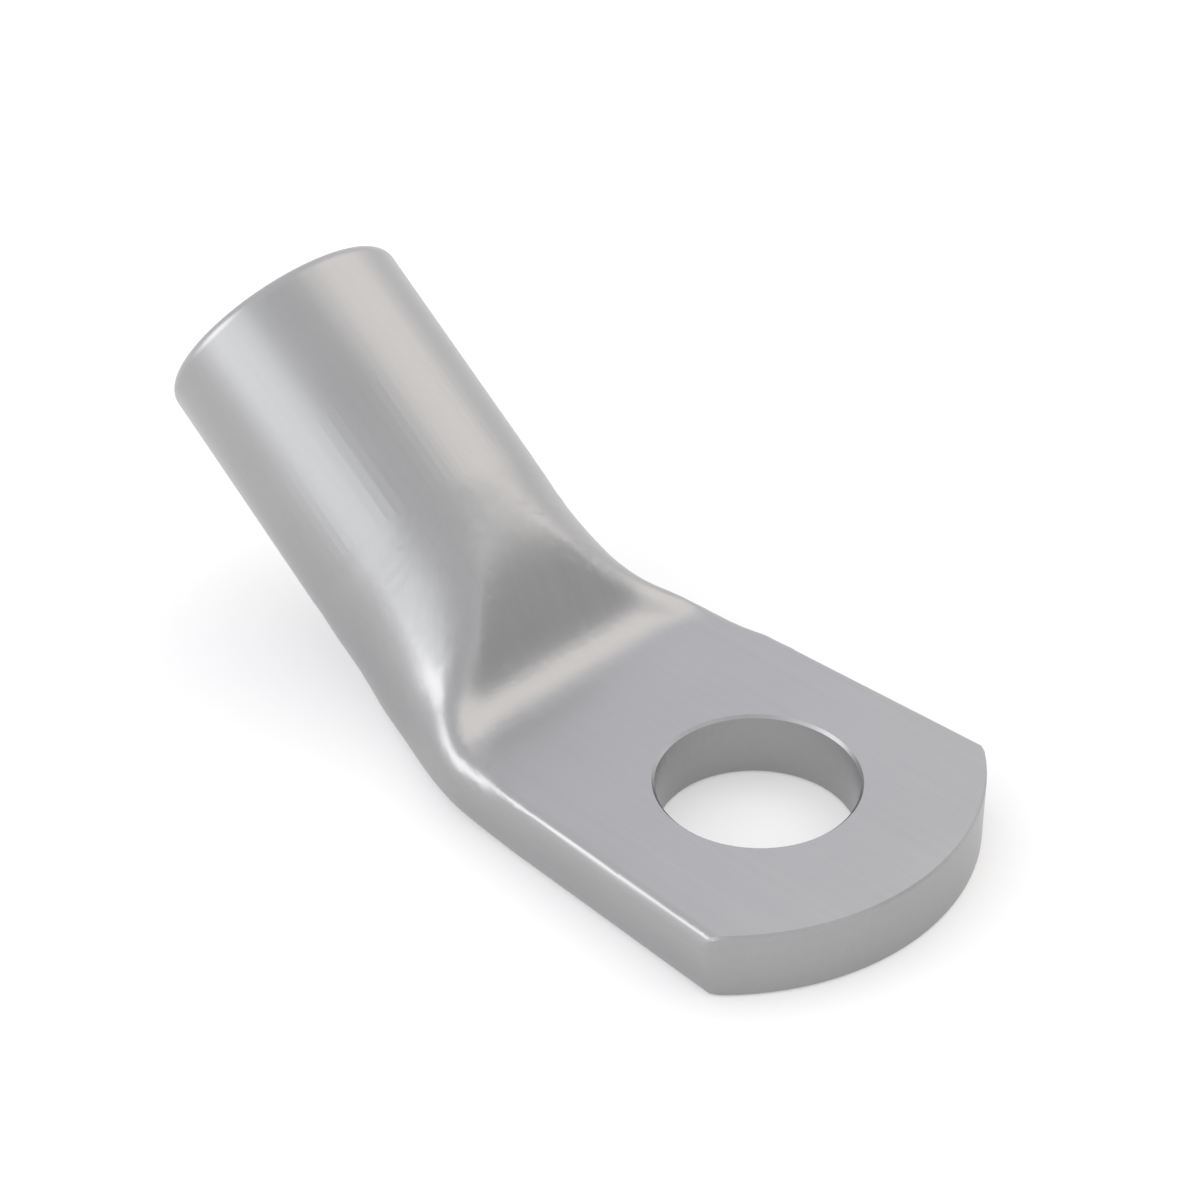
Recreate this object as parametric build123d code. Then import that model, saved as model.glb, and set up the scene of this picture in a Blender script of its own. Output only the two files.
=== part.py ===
"""Angled tubular cable lug: a copper tube pressed flat into a bolt palm and bent up from it.

Frame: the origin is the bolt hole's axis on the palm's underside, +X points to the palm's tip,
+Z up. The barrel rises towards -X. Millimetres and degrees.
"""

import os
from math import atan2, cos, radians, sin, sqrt, tan

from build123d import *

os.makedirs("parts", exist_ok=True)

# Palm
bolt_hole_diameter = 10.5
palm_thickness = 3.8
palm_width = 20.7  # across the bolt hole, from fold to fold
palm_flare = 1.84  # each side opens towards the tip
fold_depth = 0.55  # how far the tube's folded side bulges past the palm's flat
fold_round = 0.3  # where the fold runs into the flat
tip_radius = 13.8
tip_reach = 10.95  # from the bolt hole's axis to the front of the arc
tip_edge_break = 0.12
hole_edge_break = 0.15

# Barrel
barrel_diameter = 14.8
bore_diameter = 10.6
bore_depth = 16.6  # full bore, from the mouth
mouth_round = 0.8
mouth_bore_break = 0.3

# Bend
bend_angle = 37.4  # barrel's axis above the palm
bend_back = 18.41  # from the bolt hole's axis to where the barrel's axis meets the palm's middle
barrel_length = 23.8  # from there to the mouth
neck_length = 9.0  # from there to where the barrel is a plain tube
straight_neck = 1.4  # last stretch of the neck, already round

# Punched face between the palm's top and the barrel's top
punch_angle = 62.0
punch_foot = 14.1  # from the bolt hole's axis back to where its steep flat meets the palm's top
dip_radius = 3.0
crown_radius = 14.2
crease_round = 0.7
fading_crease = 1.8  # half-width at which a crease has run out into the barrel's round

# Beads that the punch leaves along both sides
even_back = 6.2  # from the bolt hole's axis back to the end of the palm's straight sides
bead_front = 8.0  # from the bolt hole's axis back to where the palm's fold starts to widen
bead_lead = 5.2  # length over which it widens into the bead
bead_width = 1.7  # added to the fold there
bead_slope = 20.0  # bead's inner side, falling to the crease
bead_fullness = 1.3  # bead's shoulder against an ellipse's
bead_peak = 13.6  # from the bolt hole's axis back to the last of the full bead
bead_back = 16.3  # and to where it has become the barrel's side

# Outline of the neck seen from above, and its underside
waist_front = 11.5  # from the bolt hole's axis back to where the palm starts to narrow
waist_back = 22.5  # and to where it has the barrel's width
heel_fold = 0.15  # added to the fold's depth under the neck
heel_share = 0.6  # axis above the underside, in barrel radii, where the lower fold has run out
heel_round = 0.7

# Closed end of the bore
pinch_width = 12.6
pinch_height = 0.5
pinch_rise = 0.4  # up the barrel's axis from the bend

BEND = radians(bend_angle)
STEEP = radians(punch_angle)
FLARE = radians(palm_flare)
barrel_radius = barrel_diameter / 2
bore_radius = bore_diameter / 2
mid_z = palm_thickness / 2
bend_x = -bend_back


def mix(a, b, share):
    return a + (b - a) * share


def blend(a, b, share):
    """Point between two points."""
    return (mix(a[0], b[0], share), mix(a[1], b[1], share))


def ease(share):
    """From 0 to 1 with level ends."""
    share = min(max(share, 0.0), 1.0)
    return share * share * (3 - 2 * share)


def by_axis(up, above=0.0):
    """Side-view point (x, z) up the barrel's axis from the bend, and above the axis."""
    x = bend_x - up * cos(BEND) + above * sin(BEND)
    z = mid_z + up * sin(BEND) + above * cos(BEND)
    return x, z


# Punched face in the side view: palm's top, dip, steep flat, crown, barrel's top line
foot_x = -punch_foot
dip_reach = dip_radius * tan(STEEP / 2)
dip_start_x = foot_x + dip_reach
dip_end_x = foot_x - dip_reach * cos(STEEP)
top_x, top_z = by_axis(0, barrel_radius)
corner_drop = top_z + top_x * tan(BEND) - palm_thickness - foot_x * tan(STEEP)
crown_corner_x = -corner_drop / (tan(STEEP) - tan(BEND))
crown_reach = crown_radius * tan((STEEP - BEND) / 2)
crown_start_x = crown_corner_x + crown_reach * cos(STEEP)
crown_end_x = crown_corner_x - crown_reach * cos(BEND)
neck_top_x = by_axis(neck_length, barrel_radius)[0]
round_top_x = by_axis(neck_length - straight_neck, barrel_radius)[0]

# Underside in the side view: palm's plane, heel, barrel's lowest line
neck_under_x, neck_under_z = by_axis(neck_length, -barrel_radius)
heel_tangent = neck_under_z / sin(BEND)
heel_start_x = neck_under_x + heel_tangent * (cos(BEND) + 1)
heel_radius = heel_tangent / tan(BEND / 2)


def punch_z(x):
    """Height of the punched face on the middle plane."""
    if x >= dip_start_x:
        return palm_thickness
    if x >= dip_end_x:
        return palm_thickness + dip_radius - sqrt(dip_radius**2 - (dip_start_x - x) ** 2)
    steep_z = palm_thickness + (foot_x - max(x, crown_start_x)) * tan(STEEP)
    if x >= crown_start_x:
        return steep_z
    if x >= crown_end_x:
        centre_x = crown_start_x - crown_radius * sin(STEEP)
        centre_z = steep_z - crown_radius * cos(STEEP)
        return centre_z + sqrt(crown_radius**2 - (x - centre_x) ** 2)
    return top_z + (top_x - x) * tan(BEND)


def under_z(x):
    """Height of the underside on the middle plane."""
    if x >= heel_start_x:
        return 0.0
    if x >= neck_under_x:
        return heel_radius - sqrt(heel_radius**2 - (heel_start_x - x) ** 2)
    return neck_under_z + (neck_under_x - x) * tan(BEND)


def half_width(x):
    """Half the part's width where the middle of its section lies at x."""
    palm_side = palm_width / 2 + x * tan(FLARE)
    share = ease((x + waist_back) / (waist_back - waist_front))
    return mix(barrel_radius, palm_side, share)


def span(start, start_way, start_arm, end, end_way, end_arm):
    """Cubic from start to end with these directions and arms."""
    near_start = (start[0] + start_arm * start_way[0], start[1] + start_arm * start_way[1])
    near_end = (end[0] - end_arm * end_way[0], end[1] - end_arm * end_way[1])
    return [start, near_start, near_end, end]


def lead(start, start_way, end, end_way):
    """Short cubic between two points with these directions."""
    arm = sqrt((end[0] - start[0]) ** 2 + (end[1] - start[1]) ** 2) / 3
    return span(start, start_way, arm, end, end_way, arm)


def bow(start, start_way, end, end_way, fullness=1.0):
    """Cubic from start to end with these directions, round like an arc of an ellipse."""
    across = end[0] - start[0]
    rise = end[1] - start[1]
    cross = start_way[0] * end_way[1] - start_way[1] * end_way[0]
    turn = abs(atan2(cross, start_way[0] * end_way[0] + start_way[1] * end_way[1]))
    reach = 4 / 3 * tan(turn / 4) / tan(turn / 2) / cross * fullness
    start_arm = reach * (across * end_way[1] - rise * end_way[0])
    end_arm = reach * (start_way[0] * rise - start_way[1] * across)
    return span(start, start_way, start_arm, end, end_way, end_arm)


def unit(way):
    length = sqrt(way[0] ** 2 + way[1] ** 2)
    return (way[0] / length, way[1] / length)


def quarter(wide, tall, crease, softness, folded, bead=0.0):
    """One quarter of a section, from the widest point to the middle, as three cubics.

    The flank rises tall above the widest point and meets the flat at the crease. A round tube's
    flank is an arc of its own ellipse, and with no flat left it closes over the middle. A folded
    flank comes to the crease level, and a bead's comes down to it over a fuller shoulder.
    """
    full = tall / sqrt(1 - (crease / wide) ** 2)
    seam = mix(sqrt(crease**2 + fading_crease**2), crease, folded)

    def level(y):
        return full * sqrt(1 - (y / wide) ** 2)

    seam_slope = atan2(full**2 * seam, wide**2 * level(seam))
    slope = mix(seam_slope, -radians(bead_slope) * bead, folded)
    way = (-cos(slope), sin(slope))
    fullness = mix(1.0, bead_fullness, bead * folded)
    flank = bow((wide, 0.0), (0.0, 1.0), (seam, level(seam)), way, fullness)

    # The flank stops short of the crease, and a small curve leads over it onto the flat
    last_arm = sqrt((flank[3][0] - flank[2][0]) ** 2 + (flank[3][1] - flank[2][1]) ** 2)
    cut = 1 - softness / (3 * last_arm)
    early = [blend(a, b, cut) for a, b in zip(flank, flank[1:])]
    later = [blend(a, b, cut) for a, b in zip(early, early[1:])]
    side = blend(later[0], later[1], cut)
    side_way = unit((later[1][0] - later[0][0], later[1][1] - later[0][1]))
    flat_y = seam - softness
    inner = (flat_y, min(level(flat_y), tall))
    inner_way = unit((-flat_y, 2 * (tall - inner[1])))
    return [
        [flank[0], early[0], later[0], side],
        lead(side, side_way, inner, inner_way),
        lead(inner, inner_way, (0.0, tall), (-1.0, 0.0)),
    ]


def section(top_at, under_at):
    """Wire across the part in the plane through two points of its side view."""
    top = (top_at, punch_z(top_at))
    under = (under_at, under_z(under_at))
    height = sqrt((top[0] - under[0]) ** 2 + (top[1] - under[1]) ** 2)
    lean = ((top[0] - under[0]) / height, (top[1] - under[1]) / height)
    rise = lean[0] * sin(BEND) + lean[1] * cos(BEND)
    under_axis = (bend_x - under[0]) * sin(BEND) + (mid_z - under[1]) * cos(BEND)
    axis_level = under_axis / rise
    middle = max((mid_z - under[1]) / lean[1], axis_level)
    wide = half_width(under[0] + middle * lean[0])
    tube_tall = barrel_radius / rise

    # Share of the palm's form: 1 on the palm, 0 on the pressed tube
    palmed = ease((top_at - dip_end_x) / (dip_start_x - dip_end_x))
    widened = ease((-bead_front - top_at) / bead_lead)
    beaded = ease((top_at + bead_back) / (bead_back - bead_peak))

    chord = barrel_radius * sqrt(max(1 - ((height - axis_level) / tube_tall) ** 2, 0.0))
    crease = mix(chord, wide - fold_depth - bead_width * widened, palmed)
    softness = mix(fold_round, crease_round, widened)
    upper = quarter(wide, height - middle, crease, softness, beaded, widened)
    level = max(axis_level, 0.0) / tube_tall
    under_chord = wide * sqrt(max(1 - level**2, 0.0))
    crease = min(under_chord, wide - fold_depth - heel_fold * widened)
    softness = mix(fold_round, heel_round, widened)
    lower = quarter(wide, middle, crease, softness, ease(1 - level / heel_share))

    def place(point, side, up):
        level = middle + up * point[1]
        return (under[0] + level * lean[0], side * point[0], under[1] + level * lean[1])

    edges = []
    for side, up, curves in ((1, 1, upper), (-1, 1, upper), (-1, -1, lower), (1, -1, lower)):
        ordered = curves if side * up > 0 else reversed(curves)
        for curve in ordered:
            points = curve if side * up > 0 else curve[::-1]
            edges.append(Edge.make_bezier(*[place(point, side, up) for point in points]))
    return Wire(edges)


def spread(start, end, count):
    return [mix(start, end, step / count) for step in range(count)]


# Neck: from the palm's even section through the punched hollow to the round barrel
stations = spread(-even_back, -bead_front, 2) + spread(-bead_front, dip_start_x, 3)
stations += spread(dip_start_x, dip_end_x, 3) + spread(dip_end_x, crown_start_x, 1)
stations += spread(crown_start_x, round_top_x, 4) + spread(round_top_x, neck_top_x, 2)
stations.append(neck_top_x)
sections = []
for x in stations:
    share = max((dip_start_x - x) / (dip_start_x - neck_top_x), 0.0)
    sections.append(section(x, x - share**2 * (neck_top_x - neck_under_x)))
neck = Solid.make_loft(sections)

# Palm: the tube pressed flat, cut to an arc at the tip
past_tip_x = tip_reach + palm_thickness
palm = Solid.make_loft([section(past_tip_x, past_tip_x), section(-even_back, -even_back)], True)
tip_x = tip_reach - tip_radius
palm = palm & Pos(tip_x, 0) * Cylinder(tip_radius, 3 * palm_thickness)

# Barrel: plain tube from the neck to the mouth
neck_end = by_axis(neck_length)
barrel_plane = Plane(
    origin=(neck_end[0], 0, neck_end[1]),
    x_dir=(0, 1, 0),
    z_dir=(-cos(BEND), 0, sin(BEND)),
)
barrel = barrel_plane * extrude(Circle(barrel_radius), barrel_length - neck_length)

body = neck.fuse(palm.solid(), barrel.solid(), tol=2e-3)

# Bore: round down to the neck, then pressed together into a slit at the bend
mouth = by_axis(barrel_length)
bore_plane = Plane(
    origin=(mouth[0], 0, mouth[1]),
    x_dir=(0, 1, 0),
    z_dir=(cos(BEND), 0, -sin(BEND)),
)
pinch_depth = barrel_length - pinch_rise
bore = bore_plane * extrude(Circle(bore_radius), bore_depth)
pinch = loft(
    [
        bore_plane.offset(bore_depth) * Circle(bore_radius).face(),
        bore_plane.offset(pinch_depth) * Ellipse(pinch_width / 2, pinch_height / 2).face(),
    ]
)
body = body - bore - pinch

bolt_hole = Cylinder(bolt_hole_diameter / 2, 3 * palm_thickness)
body = body - bolt_hole


def rims_at(centre, radius):
    """The solid's round edges of this radius about an axis through the centre."""
    rounds = body.edges().filter_by(GeomType.CIRCLE)
    near = rounds.filter_by(lambda edge: (edge.arc_center - centre).length < palm_thickness + 0.1)
    return near.filter_by(lambda edge: abs(edge.radius - radius) < 0.01)


mouth_centre = Vector(mouth[0], 0, mouth[1])
body = fillet(rims_at(mouth_centre, barrel_radius), mouth_round)
body = chamfer(rims_at(mouth_centre, bore_radius), mouth_bore_break)
body = chamfer(rims_at(Vector(0, 0, 0), bolt_hole_diameter / 2), hole_edge_break)

# Edges of the cut tip, between the folded sides
tip_rims = body.edges().filter_by(lambda edge: abs(edge.position_at(0.5).X - tip_reach) < 0.01)
body = chamfer(tip_rims, tip_edge_break)

cable_lug = body.solid()
cable_lug.label = "cable_lug"
export_step(cable_lug, "parts/cable_lug.step")
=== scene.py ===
"""Studio picture of a tinned copper cable lug: its drawn barrel, pressed palm and punched hollow."""

from math import cos, radians, sin

import bmesh
import bpy
import numpy as np
from mathutils import Matrix, Vector


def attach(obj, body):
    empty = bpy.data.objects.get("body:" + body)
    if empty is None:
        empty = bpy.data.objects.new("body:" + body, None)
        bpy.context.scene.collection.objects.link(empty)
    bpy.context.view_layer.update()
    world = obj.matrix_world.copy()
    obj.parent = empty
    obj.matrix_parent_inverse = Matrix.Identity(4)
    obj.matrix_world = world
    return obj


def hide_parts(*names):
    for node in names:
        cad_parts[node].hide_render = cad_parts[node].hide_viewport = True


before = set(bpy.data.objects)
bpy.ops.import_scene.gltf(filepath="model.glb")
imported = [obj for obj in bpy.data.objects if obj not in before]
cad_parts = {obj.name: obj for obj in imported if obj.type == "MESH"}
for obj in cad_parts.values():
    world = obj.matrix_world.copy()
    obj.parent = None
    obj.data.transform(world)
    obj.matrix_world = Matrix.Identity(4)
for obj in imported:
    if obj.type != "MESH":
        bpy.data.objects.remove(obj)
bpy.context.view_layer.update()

# Camera, in metres and degrees: low over the palm's near corner, looking back up the barrel
CAMERA_PLACE = (0.063257, -0.070534, 0.080270)
CAMERA_BACK = (0.59779, -0.56565, 0.56805)  # from the lug towards the camera
CAMERA_ROLL = -1.531
CAMERA_LENS = 71.5
CAMERA_SENSOR = 36.0
NEAR_CLIP = 0.001
FAR_CLIP = 10.0

# Course of the drawn tube in the side view: flat along the palm, then up the barrel
BARREL_ANGLE = 37.4
BEND_START = -0.014
BEND_END = -0.022
LINE_STRETCH = 0.02  # draw lines are this much shorter across than along

# Tin: its two tones, then noise scales and how much each noise gives
TIN_DARK = (0.335, 0.335, 0.339, 1)
TIN_LIGHT = (0.368, 0.368, 0.372, 1)
TIN_STOPS = [(0.2, TIN_DARK), (0.8, TIN_LIGHT)]
CLOUD_SCALE = 160.0
GRAIN_SCALE = 5200.0
LINE_SCALE = 2400.0
FINE_DETAIL = 2.0
SOFT_DETAIL = 3.0
NOISE_MIDDLE = 0.5
CLOUD_TONE = 0.5
LINE_TONE = 0.5
GRAIN_TONE = 0.2
LINE_RELIEF = 0.6
GRAIN_RELIEF = 0.4
RELIEF_STRENGTH = 0.12
RELIEF_HEIGHT = 0.00001
TIN_ROUGHNESS = 0.33
CLOUD_ROUGHNESS = 0.08
LINE_ROUGHNESS = 0.05

# Light: the tent's own tone, then glows by direction, core and rim in degrees
TENT_TONE = (1.13, 1.13, 1.15, 1)
GLOWS = [
    ((0.08, 0.67, 0.74), 16, 40, (1.84, 1.77, 1.70, 1)),
    ((0.00, -0.95, 0.28), 12, 40, (1.86, 1.87, 1.90, 1)),
    ((-0.60, -0.68, 0.38), 10, 26, (3.0, 3.0, 3.05, 1)),
    ((0.85, 0.52, 0.12), 10, 36, (0.66, 0.66, 0.65, 1)),
    ((0.45, -0.36, 0.82), 14, 34, (1.0, 1.0, 1.01, 1)),
    ((-0.62, 0.55, 0.56), 8, 24, (1.20, 1.20, 1.28, 1)),
]

# Floor, in metres: a pale sheet just under the palm, lit from below as on a light table
FLOOR_HALF = 1.5
FLOOR_DROP = 0.00001
FLOOR_PAINT = 0.65
FLOOR_ROUGHNESS = 0.9
FLOOR_GLOW = 0.27

# Neck between barrel and palm, in metres: where its finer mesh lies
BEND_X = -0.01841
BEND_Z = 0.0019
NECK_BACK = -0.0275
NECK_FRONT = -0.0080
PALM_EVEN = -0.0050
REFINE_LENGTH = 0.00042
REFINE_ROUNDS = 60

# The punched face's profile along the middle, and where the sides above it are struck down to it
MIDDLE_BAND = 0.0006
PROFILE_STEP = 0.0001
DIP_SOFTNESS = 0.0009
STRIKE_FROM = 0.0010
STRIKE_OVER = 0.0030
STRIKE_BACK = -0.0166
STRIKE_FADE = 0.0025
STRIKE_UP = 0.0060
FRONT_FADE = 0.0015

# Softening: how far up the barrel and down its sides it reaches, and what it leaves of the creases
SOFT_UP = 0.0090
BACK_FADE = 0.0030
SOFT_ABOVE = 0.0035
SIDE_FADE = 0.0020
CREASE_SHARP = -0.0150
CREASE_FADE = 0.0025
CREASE_SHARE = 0.06
SOFT_ROUNDS = 140
SOFT_STEP = 0.5

JOIN_WITHIN = 1e-6
SHARP_ANGLE = 30.0


def lug_camera():
    back = Vector(CAMERA_BACK).normalized()
    level = Vector((0, 0, 1)).cross(back).normalized()
    right = Matrix.Rotation(radians(CAMERA_ROLL), 3, back) @ level
    up = back.cross(right)
    data = bpy.data.cameras.new("camera")
    data.lens = CAMERA_LENS
    data.sensor_width = CAMERA_SENSOR
    data.clip_start = NEAR_CLIP
    data.clip_end = FAR_CLIP
    camera = bpy.data.objects.new("camera", data)
    turn = Matrix((right, up, back)).transposed().to_4x4()
    camera.matrix_world = Matrix.Translation(CAMERA_PLACE) @ turn
    bpy.context.scene.collection.objects.link(camera)
    bpy.context.scene.camera = camera


class Shade:
    """A shader value that takes part in sums and products, with a tree to build in."""

    def __init__(self, tree, socket):
        self.tree = tree
        self.socket = socket

    def node(self, kind, settings=None, **inputs):
        """Any node: its settings first, then the values or links of its sockets."""
        new = self.tree.nodes.new(kind)
        for name, value in (settings or {}).items():
            if name == "stops":
                for stop, (at, tone) in zip(new.color_ramp.elements, value):
                    stop.position = at
                    stop.color = tone
            else:
                setattr(new, name, value)
        for name, value in inputs.items():
            key = int(name[1:]) if name[0] == "i" and name[1:].isdigit() else name.replace("_", " ")
            self.feed(new.inputs[key], value)
        return new

    def feed(self, socket, value):
        if isinstance(value, Shade):
            self.tree.links.new(value.socket, socket)
        elif isinstance(value, bpy.types.NodeSocket):
            self.tree.links.new(value, socket)
        else:
            socket.default_value = value

    def math(self, operation, other, clamp=False):
        settings = {"operation": operation, "use_clamp": clamp}
        new = self.node("ShaderNodeMath", settings, i0=self, i1=other)
        return Shade(self.tree, new.outputs[0])

    def __add__(self, other):
        return self.math("ADD", other)

    __radd__ = __add__

    def __mul__(self, other):
        return self.math("MULTIPLY", other)

    __rmul__ = __mul__

    def __sub__(self, other):
        return self.math("SUBTRACT", other)

    def __rsub__(self, other):
        new = self.node("ShaderNodeMath", {"operation": "SUBTRACT"}, i0=other, i1=self)
        return Shade(self.tree, new.outputs[0])

    def __truediv__(self, other):
        return self.math("DIVIDE", other)

    def clamped(self):
        return self.math("ADD", 0.0, clamp=True)


def drawn_place(start):
    """Where a point lies on the drawn tube: along it, across it, and its height in the tube."""
    place = start.node("ShaderNodeTexCoord").outputs["Object"]
    parts = start.node("ShaderNodeSeparateXYZ", Vector=place)
    x, y, z = (Shade(start.tree, socket) for socket in parts.outputs)
    on_barrel = ((BEND_START - x) / (BEND_START - BEND_END)).clamped()
    raised = x * sin(radians(BARREL_ANGLE)) + z * cos(radians(BARREL_ANGLE))
    height = z + on_barrel * (raised - z)
    drawn = start.node("ShaderNodeCombineXYZ", X=x * LINE_STRETCH, Y=y, Z=height)
    return place, drawn.outputs["Vector"]


def tin_plate():
    """Satin tin over drawn copper: faint lines along the tube, a soft cloud and a fine grain."""
    material = bpy.data.materials.new("tinned_copper")
    material.use_nodes = True
    tree = material.node_tree
    tree.nodes.clear()
    start = Shade(tree, None)
    place, drawn = drawn_place(start)

    def noise(vector, scale, detail):
        made = start.node("ShaderNodeTexNoise", Vector=vector, Scale=scale, Detail=detail)
        return Shade(tree, made.outputs["Fac"]) - NOISE_MIDDLE

    cloud = noise(place, CLOUD_SCALE, SOFT_DETAIL)
    grain = noise(place, GRAIN_SCALE, FINE_DETAIL)
    lines = noise(drawn, LINE_SCALE, SOFT_DETAIL)
    tone = NOISE_MIDDLE + CLOUD_TONE * cloud + LINE_TONE * lines + GRAIN_TONE * grain
    colour = start.node(
        "ShaderNodeValToRGB",
        {"stops": TIN_STOPS},
        Fac=tone.clamped(),
    )
    bump = start.node(
        "ShaderNodeBump",
        Strength=RELIEF_STRENGTH,
        Distance=RELIEF_HEIGHT,
        Height=LINE_RELIEF * lines + GRAIN_RELIEF * grain,
    )
    surface = start.node(
        "ShaderNodeBsdfPrincipled",
        Base_Color=colour.outputs["Color"],
        Metallic=1.0,
        Roughness=TIN_ROUGHNESS + CLOUD_ROUGHNESS * cloud + LINE_ROUGHNESS * lines,
        Normal=bump.outputs["Normal"],
    )
    start.node("ShaderNodeOutputMaterial", Surface=surface.outputs["BSDF"])
    return material


def ease(share):
    """A share from nought to one that starts and ends softly."""
    share = np.clip(share, 0.0, 1.0)
    return share * share * (3 - 2 * share)


def by_barrel(points):
    """How far each point lies up the barrel's axis from the bend, and above it."""
    slope = radians(BARREL_ANGLE)
    back = BEND_X - points[:, 0]
    rise = points[:, 2] - BEND_Z
    return back * cos(slope) + rise * sin(slope), rise * cos(slope) - back * sin(slope)


def is_long(edge):
    """Whether an edge of the neck is too long to carry a soft form."""
    within = all(NECK_BACK < end.co.x < PALM_EVEN and end.co.z > BEND_Z for end in edge.verts)
    return within and edge.calc_length() > REFINE_LENGTH


def refine_neck(shape):
    """Halve the neck's triangles across their longest sides until none there is long."""
    for _ in range(REFINE_ROUNDS):
        shape.edges.index_update()
        lengths = {}

        def length(edge):
            if edge.index not in lengths:
                lengths[edge.index] = (edge.calc_length(), edge.index)
            return lengths[edge.index]

        def longest(face):
            return max(face.edges, key=length)

        wanted = [face for edge in shape.edges if is_long(edge) for face in edge.link_faces]
        seen = set()
        halved = set()
        while wanted:
            face = wanted.pop()
            if face in seen:
                continue
            seen.add(face)
            side = longest(face)
            if all(longest(other) == side for other in side.link_faces):
                halved.add(side)
            wanted.extend(side.link_faces)
        if not halved:
            break
        ordered = sorted(halved, key=lambda edge: edge.index)
        made = bmesh.ops.bisect_edges(shape, edges=ordered, cuts=1)
        for vertex in made["geom_split"]:
            if not isinstance(vertex, bmesh.types.BMVert):
                continue
            for face in list(vertex.link_faces):
                corner = next(loop for loop in face.loops if loop.vert == vertex)
                bmesh.utils.face_split(face, vertex, corner.link_loop_next.link_loop_next.vert)


def strike_crests(points, outer):
    """Bring each side of the punched hollow that stands above its middle down to the middle's height."""
    x, z = points[:, 0], points[:, 2]
    aside = np.abs(points[:, 1])
    middle = outer & (aside < MIDDLE_BAND) & (z > BEND_Z)
    order = np.argsort(x[middle])
    grid = np.arange(NECK_BACK, PALM_EVEN, PROFILE_STEP)
    heights = np.interp(grid, x[middle][order], z[middle][order])
    near = np.exp(-0.5 * ((grid[:, None] - grid[None, :]) / DIP_SOFTNESS) ** 2)
    face = np.interp(x, grid, (near @ heights) / near.sum(axis=1))
    spare = np.clip(z - face, 0.0, None)
    share = ease((aside - STRIKE_FROM) / STRIKE_OVER) * ease((NECK_FRONT - x) / FRONT_FADE)
    share *= ease((x - STRIKE_BACK) / STRIKE_FADE)
    points[:, 2] -= np.where(outer & (z > BEND_Z), share, 0.0) * spare


def soften_neck(shape):
    """Soften the punched hollow as pressing does: its dip, its creases and its run into the barrel."""
    shape.normal_update()
    shape.verts.index_update()
    points = np.array([vertex.co for vertex in shape.verts])
    normals = np.array([vertex.normal for vertex in shape.verts])
    ends = np.array([[vertex.index for vertex in edge.verts] for edge in shape.edges])
    up, above = by_barrel(points)
    slope = radians(BARREL_ANGLE)
    facing = normals[:, 0] * sin(slope) + normals[:, 2] * cos(slope)
    outer = facing * above + normals[:, 1] * points[:, 1] > 0
    strike_crests(points, outer & (up < STRIKE_UP))
    for vertex, point in zip(shape.verts, points):
        vertex.co = point
    shape.normal_update()
    normals = np.array([vertex.normal for vertex in shape.verts])

    up, above = by_barrel(points)
    share = ease((NECK_FRONT - points[:, 0]) / FRONT_FADE) * ease((SOFT_UP - up) / BACK_FADE)
    share *= ease((above - SOFT_ABOVE) / SIDE_FADE)
    share *= CREASE_SHARE + (1.0 - CREASE_SHARE) * ease((CREASE_SHARP - points[:, 0]) / CREASE_FADE)
    share = np.where(outer, share, 0.0)[:, None]
    count = np.bincount(ends.ravel(), minlength=len(points))[:, None]
    for _ in range(SOFT_ROUNDS):
        total = np.zeros_like(points)
        np.add.at(total, ends[:, 0], points[ends[:, 1]])
        np.add.at(total, ends[:, 1], points[ends[:, 0]])
        pull = ((total / count - points) * normals).sum(axis=1, keepdims=True)
        points += SOFT_STEP * share * pull * normals
    for vertex, point in zip(shape.verts, points):
        vertex.co = point


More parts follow.
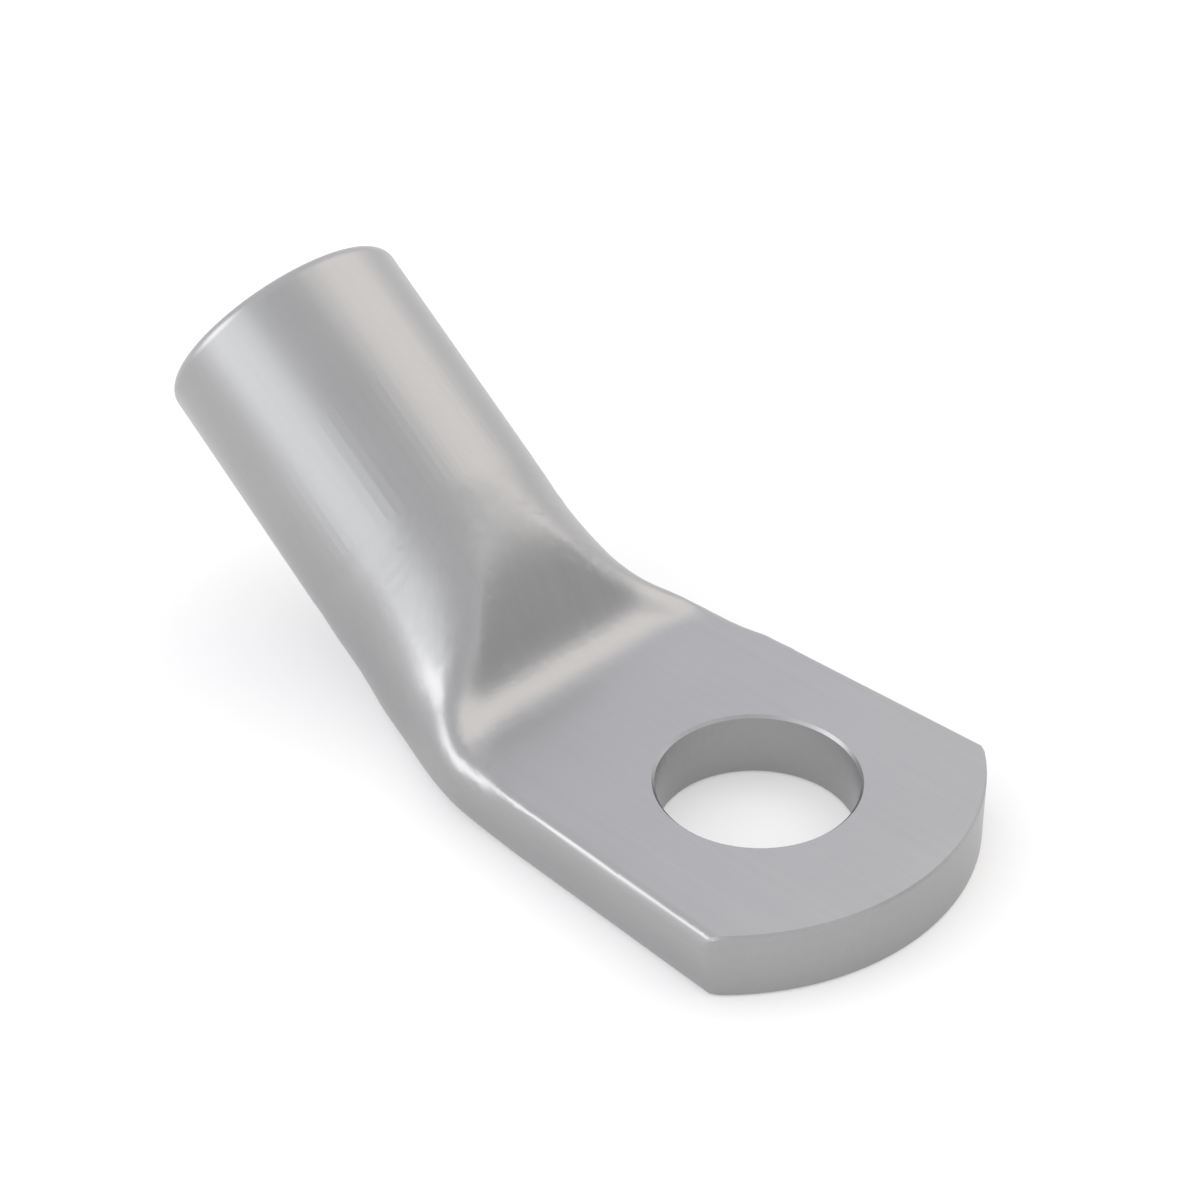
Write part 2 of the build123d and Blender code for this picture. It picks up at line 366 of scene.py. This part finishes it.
def smooth_lug(material):
    """The CAD lug as one joined mesh, smooth across its curved faces and sharp at its trimmed corners."""
    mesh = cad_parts["cable_lug"].data.copy()
    mesh.name = "lug"
    shape = bmesh.new()
    shape.from_mesh(mesh)
    bmesh.ops.remove_doubles(shape, verts=shape.verts, dist=JOIN_WITHIN)
    refine_neck(shape)
    soften_neck(shape)
    shape.to_mesh(mesh)
    shape.free()
    for name in ("custom_normal", "sharp_edge", "sharp_face"):
        if name in mesh.attributes:
            mesh.attributes.remove(mesh.attributes[name])
    mesh.shade_smooth()
    mesh.set_sharp_from_angle(angle=radians(SHARP_ANGLE))
    mesh.materials.clear()
    mesh.materials.append(material)
    lug = bpy.data.objects.new("lug", mesh)
    bpy.context.scene.collection.objects.link(lug)
    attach(lug, "root")
    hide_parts("cable_lug")
    return lug


def pale_floor():
    half = FLOOR_HALF
    mesh = bpy.data.meshes.new("floor")
    corners = [(-half, -half), (half, -half), (half, half), (-half, half)]
    mesh.from_pydata([(x, y, -FLOOR_DROP) for x, y in corners], [], [(0, 1, 2, 3)])
    floor = bpy.data.objects.new("floor", mesh)
    bpy.context.scene.collection.objects.link(floor)
    material = bpy.data.materials.new("floor_paint")
    material.use_nodes = True
    surface = material.node_tree.nodes["Principled BSDF"]
    surface.inputs["Base Color"].default_value = (FLOOR_PAINT, FLOOR_PAINT, FLOOR_PAINT, 1)
    surface.inputs["Roughness"].default_value = FLOOR_ROUGHNESS
    surface.inputs["Emission Color"].default_value = (1, 1, 1, 1)
    surface.inputs["Emission Strength"].default_value = FLOOR_GLOW
    mesh.materials.append(material)


def studio():
    """A white tent with soft glows and one shaded side, all by direction."""
    world = bpy.data.worlds.new("studio")
    bpy.context.scene.world = world
    world.use_nodes = True
    tree = world.node_tree
    tree.nodes.clear()
    start = Shade(tree, None)
    way = start.node("ShaderNodeTexCoord").outputs["Generated"]
    tone = TENT_TONE
    for toward, core, rim, glow in GLOWS:
        aim = Vector(toward).normalized()
        facing = start.node("ShaderNodeVectorMath", {"operation": "DOT_PRODUCT"}, i0=way, i1=aim)
        inner, outer = cos(radians(core)), cos(radians(rim))
        share = start.node(
            "ShaderNodeMapRange",
            {"interpolation_type": "SMOOTHSTEP"},
            Value=Shade(tree, facing.outputs["Value"]),
            From_Min=outer,
            From_Max=inner,
        )
        share = share.outputs["Result"]
        mixed = start.node("ShaderNodeMix", {"data_type": "RGBA"}, i0=share, i6=tone, i7=glow)
        tone = mixed.outputs[2]
    sky = start.node("ShaderNodeBackground", Color=tone)
    start.node("ShaderNodeOutputWorld", Surface=sky.outputs["Background"])
    bpy.context.scene.view_settings.view_transform = "Standard"


lug_camera()
smooth_lug(tin_plate())
pale_floor()
studio()
